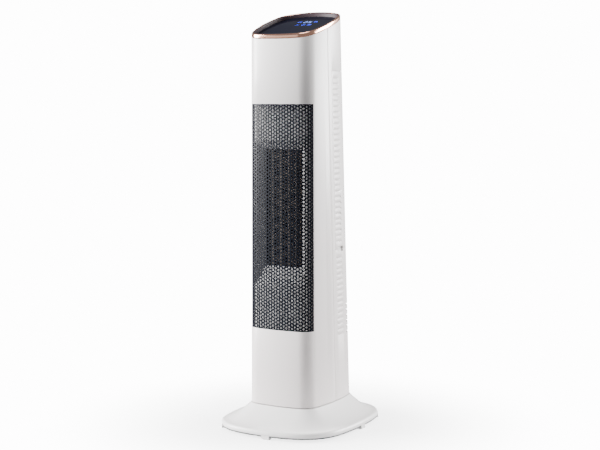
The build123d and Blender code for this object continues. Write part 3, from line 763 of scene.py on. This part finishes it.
class HEATER_OT_rear_cover(bpy.types.Operator):
    """Removable rear cover with its louvres, grooves and finger notches"""
    bl_idname = "heater.rear_cover"
    bl_label = "Rear cover"

    def execute(self, context):
        s = sizes()
        obj = tower_skin("rear_cover_skin")
        edit(obj)
        cut(obj, (0, s.seam_y + s.cover_setback, s.foot_z), seam_normal(), clear_inner=True)
        cut(obj, (0, 0, s.cover_low), UP, clear_inner=True)
        cut(obj, (0, 0, s.cover_high), UP, clear_outer=True)
        rows = louvre_rows(s.cover_low + s.notch_height, s.cover_high)
        open_louvres(obj, rows)
        open_notch(obj)
        sink_grooves(obj, rows)
        leave()
        wall_of(obj, s.cover_wall)
        round_edges(obj, 0.3 * MM)
        smooth(obj)
        white = bpy.data.materials["white shell plastic"]
        finish_piece(obj, white, "cover", "shell_white", "rear_cover")
        return {"FINISHED"}


class HEATER_OT_slot_shade_screen(bpy.types.Operator):
    """Dark woven screen behind the lowest slots; its dark colour is painted shade, put there so the slots
    read dark inside
    """
    bl_idname = "heater.intake_screen"
    bl_label = "Slot shade screen"

    def execute(self, context):
        s = sizes()
        inset, margin = s.wall + 0.25 * MM, 4 * MM
        low = s.louvre_low - margin
        high = s.cover_low - s.notch_height - margin
        rings = [level_ring(tower_values(z, inset), z) for z in (low, high)]
        obj = stack("intake_screen", rings)
        edit(obj)
        cut(obj, (0, s.back_y - s.louvre_wrap - margin, low), BACK, clear_inner=True)
        leave()
        wall_of(obj, 0.5 * MM)
        smooth(obj)
        finish_piece(obj, woven_screen(), "tower", "filter_grey")
        return {"FINISHED"}


class HEATER_OT_trim_ring(bpy.types.Operator):
    """Rose gold trim ring round the slanted top"""
    bl_idname = "heater.trim_ring"
    bl_label = "Trim ring"

    def execute(self, context):
        s = sizes()
        h, w = s.ring_height, s.ring_width
        section = [(0.55 * MM, h), (0.22 * MM, 0.93 * h), (0.05 * MM, 0.78 * h), (0.0, 0.58 * h),
                   (0.03 * MM, 0.40 * h), (0.16 * MM, 0.25 * h), (0.42 * MM, 0.13 * h), (0.85 * MM, 0.05 * h),
                   (1.4 * MM, 0.0), (w - 1.2 * MM, 0.0), (w - 0.6 * MM, 0.03 * h), (w - 0.2 * MM, 0.10 * h),
                   (w, 0.2 * h), (w, h)]
        rings = [slanted_ring(inset, drop) for inset, drop in section]
        obj = stack("trim_ring_band", rings + [rings[0]], joined=True)
        smooth(obj, 50)
        finish_piece(obj, rose_gold(), "tower", "trim_rose", "trim_ring")
        return {"FINISHED"}


class HEATER_OT_panel(bpy.types.Operator):
    """Sunk black glass panel, its dark inner wall and its lit symbols"""
    bl_idname = "heater.panel"
    bl_label = "Control panel"

    def execute(self, context):
        s = sizes()
        w = s.ring_width
        wall = [(w + 0.05 * MM, 0.9 * MM), (w + 0.3 * MM, 0.7 * MM), (w + 0.75 * MM, 0.95 * MM),
                (w + 1.15 * MM, 2.2 * MM), (w + 1.45 * MM, s.glass_drop - 0.4 * MM),
                (w + 1.5 * MM, s.glass_drop + 2.0 * MM), (w + 0.05 * MM, s.glass_drop + 2.0 * MM)]
        rings = [slanted_ring(inset, drop) for inset, drop in wall]
        tray = stack("panel_tray_wall", rings + [rings[0]], joined=True)
        smooth(tray, 40)
        dark = moulded("dark tray plastic", colours().tray, rough=0.46, coat=0.0, shine=0.12)
        finish_piece(tray, dark, "tower", "tray_dark", "panel_tray")

        edge = w + 1.55 * MM
        section = [(edge, s.glass_drop + 2.4 * MM), (edge, s.glass_drop + 0.35 * MM),
                   (edge + 0.15 * MM, s.glass_drop + 0.1 * MM), (edge + 0.4 * MM, s.glass_drop)]
        rings = [slanted_ring(inset, drop) for inset, drop in section]
        glass = stack("panel_glass_sheet", rings, close_start=True, close_end=True)
        smooth(glass, 20)
        finish_piece(glass, panel_glass(), "tower", "panel_black", "panel_glass")
        self.symbols()
        return {"FINISHED"}

    def bar(self, x, y, width, depth, lean=0.0):
        """One lit stroke laid on the glass, its middle at x, y."""
        s = sizes()
        bpy.ops.mesh.primitive_plane_add(size=1.0)
        obj = bpy.context.object
        mesh = edit(obj)
        half = [(-0.5, -0.5), (0.5, -0.5), (0.5, 0.5), (-0.5, 0.5)]
        for vertex, (u, v) in zip(sorted(mesh.verts, key=lambda p: math.atan2(p.co.y, p.co.x)), half):
            px, py = u * width, v * depth
            spot = Vector((px * math.cos(lean) - py * math.sin(lean) + x,
                           px * math.sin(lean) + py * math.cos(lean) + y))
            vertex.co = (spot.x, spot.y, top_height(spot.y, s.glass_drop - 0.06 * MM))
        bmesh.update_edit_mesh(obj.data)
        bpy.ops.mesh.select_all(action="SELECT")
        bpy.ops.mesh.bevel(offset=0.25 * min(width, depth), segments=2, affect="VERTICES")
        leave()
        return obj

    def digit(self, x, y, shape, size):
        """Seven-segment digit; shape lists its lit segments."""
        w, d, t = size * 0.55, size, size * 0.13
        places = {"a": (0, d / 2, w, t), "g": (0, 0, w, t), "d": (0, -d / 2, w, t),
                  "f": (-w / 2, d / 4, t, d / 2 - t), "b": (w / 2, d / 4, t, d / 2 - t),
                  "e": (-w / 2, -d / 4, t, d / 2 - t), "c": (w / 2, -d / 4, t, d / 2 - t)}
        return [self.bar(x + places[k][0], y + places[k][1], places[k][2], places[k][3]) for k in shape]

    def wheel(self, x, y, radius, spokes):
        """Small symbol made of strokes round a middle."""
        bars = []
        for i in range(spokes):
            angle = 2 * math.pi * i / spokes
            at = (x + radius * 0.7 * math.cos(angle), y + radius * 0.7 * math.sin(angle))
            bars.append(self.bar(*at, radius * 0.62, radius * 0.3, angle))
        return bars

    def loop(self, x, y, radius):
        """Small ring symbol, broken at its top, with a stroke in the break."""
        bars = [self.bar(x, y + radius * 0.75, radius * 0.26, radius * 0.9)]
        count = 10
        for i in range(count):
            angle = math.pi * (0.72 + 1.56 * i / (count - 1))
            at = (x + radius * math.cos(angle), y + radius * math.sin(angle))
            bars.append(self.bar(*at, radius * 0.26, radius * 0.55, angle))
        return bars

    def symbols(self):
        middle = Vector((4.0 * MM, 13.0 * MM))
        digits = self.digit(middle.x - 3.2 * MM, middle.y, "abged", 7.6 * MM)
        digits += self.digit(middle.x + 4.0 * MM, middle.y, "afgcd", 7.6 * MM)
        numbers = join("panel_digits", digits)
        finish_piece(numbers, lit("pale blue digits", (0.22, 0.36, 1.0), 2.2), "tower", "lamp_blue")
        marks = self.loop(middle.x - 13.5 * MM, middle.y + 1 * MM, 2.7 * MM)
        marks += self.wheel(middle.x + 13.5 * MM, middle.y + 1 * MM, 3.2 * MM, 8)
        marks += self.wheel(middle.x - 9 * MM, middle.y - 15 * MM, 3.2 * MM, 3)
        marks += self.loop(middle.x + 1 * MM, middle.y - 15 * MM, 2.6 * MM)
        marks += [self.bar(middle.x + 11 * MM, middle.y - 15 * MM + i * 2.2 * MM, 5.4 * MM, 0.9 * MM)
                  for i in (-1, 0, 1)]
        signs = join("panel_symbols", marks)
        finish_piece(signs, lit("blue symbols", colours().lamp, 2.6), "tower", "lamp_blue", "display_lamps")


class HEATER_OT_front_grille(bpy.types.Operator):
    """Perforated sheet bent round the front corners"""
    bl_idname = "heater.front_grille"
    bl_label = "Front grille"

    def execute(self, context):
        s = sizes()
        sheet = self.perforated(s)
        frame_strip = self.border(s)
        obj = join("front_grille_sheet", [sheet, frame_strip])
        smooth(obj, 40)
        finish_piece(obj, sheet_paint(), "tower", "grille_black", "front_grille")
        return {"FINISHED"}

    def bend(self, s, along, z, inset):
        """Point on the tower's front at a length along the sheet from its middle."""
        v = tower_values(z, inset)
        r = v[7]
        reach = v[0] - r
        half = 2 * math.atan(2 * v[4] / (2 * reach))
        bow = reach / math.sin(half)
        middle_y = v[2] + r + bow * math.cos(half)
        run = (bow + r) * half
        side = 1 if along > 0 else -1
        far = abs(along)
        if far <= run:
            angle = far / (bow + r)
            return Vector((side * (bow + r) * math.sin(angle), middle_y - (bow + r) * math.cos(angle), z))
        angle = half + (far - run) / r
        return Vector((side * (reach + r * math.sin(angle)), v[2] + r - r * math.cos(angle), z))

    def reach(self, s, z, half):
        """Half length of the sheet along its bend at height z, to the half width there."""
        far = half
        while self.bend(s, far, z, 0).x < half - 0.15 * MM:
            far += 0.1 * MM
        return far

    def sides(self, s, strip=0.0):
        """Places and outward normals of the two slanted side edges in the flat sheet."""
        low = self.reach(s, s.grille_low, s.grille_half_low) - strip
        high = self.reach(s, s.grille_high, s.grille_half_high) - strip
        rise = s.grille_high - s.grille_low
        return low, high, [((side * low, 0, s.grille_low), Vector((side * rise, 0, low - high)).normalized())
                           for side in (-1, 1)]

    def cell(self, s, x, z):
        """One hexagonal cell with a round hole, in the flat sheet."""
        bpy.ops.mesh.primitive_circle_add(vertices=12, radius=s.mesh_hole, location=(x, 0, z),
                                          rotation=(math.pi / 2, 0, 0))
        bpy.ops.object.transform_apply(location=True, rotation=True, scale=True)
        obj = bpy.context.object
        edit(obj)
        bpy.ops.mesh.select_all(action="SELECT")
        bpy.ops.mesh.extrude_edges_move()
        mesh = bmesh.from_edit_mesh(obj.data)
        flat = s.mesh_pitch / 2
        for vertex in [v for v in mesh.verts if v.select]:
            offset = Vector((vertex.co.x - x, 0, vertex.co.z - z))
            angle = math.atan2(offset.z, offset.x)
            sector = (angle + math.pi / 6) % (math.pi / 3) - math.pi / 6
            corner = abs(abs(sector)) < 0.01
            distance = flat / math.cos(math.pi / 6) if corner else flat
            vertex.co = Vector((x, 0, z)) + offset.normalized() * distance
        bmesh.update_edit_mesh(obj.data)
        leave()
        return obj

    def perforated(self, s):
        step = s.mesh_pitch * math.sqrt(3) / 2
        far_low, _, edges = self.sides(s)
        columns = int(2 * far_low / step)
        pairs = columns // 2 + 1
        rows = int((s.grille_high - s.grille_low) / s.mesh_pitch) + 1
        left = -(2 * pairs - 1) * step / 2
        low = (s.grille_low + s.grille_high) / 2 - (rows - 1) * s.mesh_pitch / 2 - s.mesh_pitch / 4
        first = self.cell(s, left, low)
        second = self.cell(s, left + step, low + s.mesh_pitch / 2)
        obj = join("perforated_field", [first, second])
        apply_modifier(obj, "ARRAY", count=pairs, use_relative_offset=False, use_constant_offset=True,
                       constant_offset_displace=(2 * step, 0, 0))
        apply_modifier(obj, "ARRAY", count=rows, use_relative_offset=False, use_constant_offset=True,
                       constant_offset_displace=(0, 0, s.mesh_pitch))
        edit(obj)
        bpy.ops.mesh.select_all(action="SELECT")
        bpy.ops.mesh.remove_doubles(threshold=0.00001)
        bpy.ops.mesh.select_all(action="SELECT")
        for place, outward in edges:
            cut(obj, place, outward, clear_outer=True)
        cut(obj, (0, 0, s.grille_low), UP, clear_inner=True)
        cut(obj, (0, 0, s.grille_high), UP, clear_outer=True)
        self.wrap(obj, s)
        leave()
        wall_of(obj, s.mesh_sheet)
        return obj

    def wrap(self, obj, s):
        mesh = bmesh.from_edit_mesh(obj.data)
        for vertex in mesh.verts:
            vertex.co = self.bend(s, vertex.co.x, vertex.co.z, 0.35 * MM - vertex.co.y)
        bmesh.update_edit_mesh(obj.data)
        bpy.ops.mesh.select_all(action="SELECT")
        bpy.ops.mesh.normals_make_consistent(inside=False)
        mesh = bmesh.from_edit_mesh(obj.data)
        outward = sum(face.normal.y * face.calc_area() for face in mesh.faces)
        if outward > 0:
            bpy.ops.mesh.flip_normals()

    def border(self, s):
        """Plain strip round the perforated field."""
        strip = 1.6 * MM
        far_low, far_high, _ = self.sides(s)
        bpy.ops.mesh.primitive_grid_add(x_subdivisions=60, y_subdivisions=2, size=1.0,
                                        rotation=(math.pi / 2, 0, 0))
        bpy.ops.object.transform_apply(location=True, rotation=True, scale=True)
        obj = bpy.context.object
        mesh = edit(obj)
        middle = (s.grille_low + s.grille_high) / 2
        tall = s.grille_high - s.grille_low
        for vertex in mesh.verts:
            far = far_low + (far_high - far_low) * (vertex.co.z + 0.5)
            vertex.co = (vertex.co.x * 2 * far, 0.0, middle + vertex.co.z * tall)
        bmesh.update_edit_mesh(obj.data)
        for z in (s.grille_low + strip, s.grille_high - strip):
            cut(obj, (0, 0, z), UP)
        inner_low, inner_high, inner_edges = self.sides(s, strip)
        for place, outward in inner_edges:
            cut(obj, place, outward)
        remove(obj, lambda c, n: abs(c.z - middle) < tall / 2 - strip and abs(c.x) < inner_low
               + (inner_high - inner_low) * (c.z - s.grille_low) / tall)
        self.wrap(obj, s)
        leave()
        wall_of(obj, s.mesh_sheet + 0.3 * MM)
        return obj


RIM_EDGE = 4.6 * MM             # how far the rim's rounding goes in
RIM_FOOT = 2.0 * MM             # upright stretch at the foot of the rim
RIM_STEPS = 8
RIM_POWER = 1.15
FLARE_STEPS = 26
FLARE_POWER = 1.6               # flat outside, steep at the tower
COLLAR_HOLE = 30.1 * MM
COLLAR_DEPTH = 16 * MM
BASE_WALL = 2.4 * MM


class HEATER_OT_base(bpy.types.Operator):
    """Flared base cover"""
    bl_idname = "heater.base"
    bl_label = "Base"

    def execute(self, context):
        s = sizes()
        rise = s.rim_high - s.rim_low
        rings = [level_ring(base_values(1.3 * MM), s.rim_low),
                 level_ring(base_values(0.75 * MM), s.rim_low + 0.15 * MM),
                 level_ring(base_values(0.3 * MM), s.rim_low + 0.7 * MM),
                 level_ring(base_values(0.0), s.rim_low + RIM_FOOT)]
        for i in range(1, RIM_STEPS + 1):
            angle = math.pi / 2 * i / RIM_STEPS
            inset = RIM_EDGE * (1 - math.cos(angle)) ** RIM_POWER
            z = s.rim_low + RIM_FOOT + (rise - RIM_FOOT) * math.sin(angle)
            rings.append(level_ring(base_values(inset), z))
        start, summit = base_values(RIM_EDGE), tower_values(s.foot_z, -1.0 * MM)
        for i in range(1, FLARE_STEPS + 1):
            share = i / FLARE_STEPS
            z = s.rim_high + (s.plateau - s.rim_high) * share ** FLARE_POWER
            rings.append(level_ring([a + (b - a) * share for a, b in zip(start, summit)], z))
        lip = tower_values(s.foot_z, 0.2 * MM)
        rings.append(level_ring(lip, s.plateau + 0.02 * MM))
        flat = [p.to_2d().normalized() * COLLAR_HOLE for p in rings[-1]]
        rings.append([Vector((p.x, p.y, s.plateau)) for p in flat])
        rings.append([Vector((p.x, p.y, s.plateau - COLLAR_DEPTH)) for p in flat])
        obj = stack("base_cover", rings)
        wall_of(obj, BASE_WALL)
        smooth(obj, 32)
        white = moulded("white base plastic", colours().base, rough=0.36)
        finish_piece(obj, white, "base", "base_white", "base_plinth")
        return {"FINISHED"}


class HEATER_OT_cad_finishes(bpy.types.Operator):
    """Finishes of the pieces whose frame shape is already right"""
    bl_idname = "heater.cad_finishes"
    bl_label = "Frame finishes"

    def execute(self, context):
        nylon = moulded("natural nylon", (0.72, 0.70, 0.62), rough=0.45, coat=0.0)
        duct = moulded("white duct plastic", (0.74, 0.73, 0.72), rough=0.42, coat=0.0)
        black = moulded("black moulded plastic", (0.022, 0.022, 0.025), rough=0.4, coat=0.1)
        heat = moulded("glass-filled plastic", (0.030, 0.028, 0.030), rough=0.55, grain=0.0001, coat=0.0)
        steel = metal("zinc plated steel", (0.62, 0.62, 0.64), 0.34)
        can = metal("pressed steel can", (0.40, 0.40, 0.42), 0.4, (1.0, 1.0, 0.05))
        fins = metal("aluminium fins", (0.20, 0.165, 0.14), 0.5, (1.0, 0.05, 1.0))
        brass = metal("brass tabs", (0.75, 0.56, 0.27), 0.3)
        rubber = rubbery("black rubber", (0.022, 0.022, 0.023))
        white = bpy.data.materials["white shell plastic"]
        base = bpy.data.materials["white base plastic"]
        # The base plate is a real part, but its dark grey is painted shade: it stands in for the shadow line
        # under the base's rim.
        grey = moulded("plate plastic with painted rim shadow", (0.10, 0.10, 0.105), rough=0.55, grain=0.0001, coat=0.0)
        finishes = {
            nylon: ["thrust_washer", "stepper_pinion", "tilt_plunger", "swivel_gear"],
            duct: ["front_duct", "bulkhead_low", "bulkhead_high", "scroll_wall", "cutoff_wall",
                   "board_standoffs", "filter_frame"],
            black: ["tilt_switch", "fan_wheel", "switch_housing", "switch_rocker", "board_parts"],
            heat: ["ptc_cap_low", "ptc_cap_high", "ptc_rails"],
            steel: ["base_screws", "gear_screws", "shell_screws", "fan_shaft", "thermal_cutout"],
            can: ["fan_motor", "stepper_motor"],
            fins: ["ptc_fins"],
            brass: ["ptc_terminals"],
            rubber: ["upper_bearing", "cord_gland"],
            white: ["tower_floor"],
            base: ["foot_front", "foot_back", "foot_right", "foot_left", "foot_left_front",
                   "foot_right_back"],
            grey: ["base_plate"],
            fired_ceramic(): ["ptc_bars"],
            circuit_board(): ["display_board", "power_board"],
            woven_screen(): ["filter_mesh"],
        }
        for material, nodes in finishes.items():
            for node in nodes:
                dress(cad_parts[node], material)
        return {"FINISHED"}


FLOOR_RADIUS = 1.1
FLOOR_STRENGTH = 0.75           # how solid the floor is under the heater
FADE_START = 0.10               # distances from the middle, in metres
FADE_END = 0.42
STUDIO_LIGHT = 0.30
BACKDROP_LIGHT = 14.0           # seen by the camera only
MIDDLE = Vector((0, 0, 0.32))   # what the lamps point at
LENS = 81.38
SENSOR = 36.0
CAMERA_PLACE = Vector((0.9793, -1.7740, 0.5018))
CAMERA_AIM = Vector((0.0060, -0.0138, 0.3024))


class HEATER_OT_stage(bpy.types.Operator):
    """Pale floor, soft lights and camera"""
    bl_idname = "heater.stage"
    bl_label = "Stage"

    def execute(self, context):
        self.floor()
        self.lights()
        self.camera()
        return {"FINISHED"}

    def floor(self):
        """Pale disc that fades out into the backdrop's own brightness."""
        deselect()
        bpy.ops.mesh.primitive_circle_add(vertices=96, radius=FLOOR_RADIUS, fill_type="NGON",
                                          location=(0, 0, -0.0002))
        floor = named("stage_floor")
        look = Look("pale floor", Roughness=0.85, Specular_IOR_Level=0.1)
        clouds = look.noise(1.5, 2.0)
        look.colour(look.blend(clouds, (0.86, 0.86, 0.865), (0.89, 0.89, 0.89)))
        away = look.node("ShaderNodeVectorMath", {"operation": "LENGTH"}, {0: look.place}).outputs["Value"]
        fade = look.node("ShaderNodeMapRange", {"interpolation_type": "SMOOTHSTEP"},
                         {0: away, 1: FADE_START, 2: FADE_END, 3: FLOOR_STRENGTH, 4: 0.0})
        look.feed(look.shader.inputs["Alpha"], fade.outputs[0])
        dress(floor, look.material)

    def lights(self):
        world = bpy.data.worlds.new("soft studio")
        world.use_nodes = True
        tree = world.node_tree
        soft = tree.nodes["Background"]
        soft.inputs["Color"].default_value = (0.97, 0.98, 1.0, 1.0)
        soft.inputs["Strength"].default_value = STUDIO_LIGHT
        seen = tree.nodes.new("ShaderNodeBackground")
        seen.inputs["Color"].default_value = (1.0, 1.0, 1.0, 1.0)
        seen.inputs["Strength"].default_value = BACKDROP_LIGHT
        path = tree.nodes.new("ShaderNodeLightPath")
        mixed = tree.nodes.new("ShaderNodeMixShader")
        tree.links.new(path.outputs["Is Camera Ray"], mixed.inputs[0])
        tree.links.new(soft.outputs[0], mixed.inputs[1])
        tree.links.new(seen.outputs[0], mixed.inputs[2])
        tree.links.new(mixed.outputs[0], tree.nodes["World Output"].inputs[0])
        bpy.context.scene.world = world
        self.lamp("front left softbox", -64, 2.4, 1.0, 1.2, 1.4, 320.0)
        self.lamp("front reflector", -24, 2.4, 0.65, 1.6, 1.3, 5.0)
        self.lamp("right rear softbox", 138, 2.4, 1.0, 1.2, 1.4, 200.0)
        self.lamp("right rear reflector", 150, 2.3, 0.5, 1.6, 1.0, 9.0)
        self.lamp("top softbox", 20, 0.7, 2.4, 1.2, 1.2, 34.0)

    def placed(self, data, place, aim):
        """Object for a lamp or camera at its place, turned towards aim."""
        obj = bpy.data.objects.new(data.name, data)
        bpy.context.scene.collection.objects.link(obj)
        obj.location = place
        obj.rotation_euler = (aim - place).to_track_quat("-Z", "Y").to_euler()
        return obj

    def lamp(self, name, azimuth, distance, rise, width, height, power):
        """Area light at an azimuth from the front, turned towards the middle of the heater."""
        turn = math.radians(azimuth)
        place = Vector((distance * math.sin(turn), -distance * math.cos(turn), rise))
        data = bpy.data.lights.new(name, "AREA")
        data.shape = "RECTANGLE"
        data.size, data.size_y = width, height
        data.energy = power
        self.placed(data, place, MIDDLE).visible_camera = False

    def camera(self):
        data = bpy.data.cameras.new("camera")
        data.lens = LENS
        data.sensor_width = SENSOR
        bpy.context.scene.camera = self.placed(data, CAMERA_PLACE, CAMERA_AIM)


class HEATER_PT_panel(bpy.types.Panel):
    """Builds the heater piece by piece"""
    bl_label = "Ceramic tower heater"
    bl_idname = "HEATER_PT_panel"
    bl_space_type = "VIEW_3D"
    bl_region_type = "UI"
    bl_category = "Heater"

    def draw(self, context):
        for piece in PIECES:
            self.layout.operator(piece.bl_idname)
        for group in (context.scene.heater_sizes, context.scene.heater_colours):
            box = self.layout.box()
            for name in group.__annotations__:
                box.prop(group, name)


PIECES = (
    HEATER_OT_front_shell, HEATER_OT_rear_shell, HEATER_OT_rear_cover, HEATER_OT_slot_shade_screen,
    HEATER_OT_trim_ring, HEATER_OT_panel, HEATER_OT_front_grille, HEATER_OT_base, HEATER_OT_cad_finishes,
    HEATER_OT_stage,
)
CLASSES = (HeaterSizes, HeaterColours, *PIECES, HEATER_PT_panel)


def register():
    for item in CLASSES:
        bpy.utils.register_class(item)
    bpy.types.Scene.heater_sizes = PointerProperty(type=HeaterSizes)
    bpy.types.Scene.heater_colours = PointerProperty(type=HeaterColours)


def unregister():
    del bpy.types.Scene.heater_colours
    del bpy.types.Scene.heater_sizes
    for item in reversed(CLASSES):
        bpy.utils.unregister_class(item)


def main():
    register()
    bpy.ops.heater.stage()
    bpy.ops.heater.front_shell()
    bpy.ops.heater.rear_shell()
    bpy.ops.heater.rear_cover()
    bpy.ops.heater.intake_screen()
    bpy.ops.heater.trim_ring()
    bpy.ops.heater.panel()
    bpy.ops.heater.front_grille()
    bpy.ops.heater.base()
    bpy.ops.heater.cad_finishes()
    deselect()


if __name__ == "__main__":
    main()
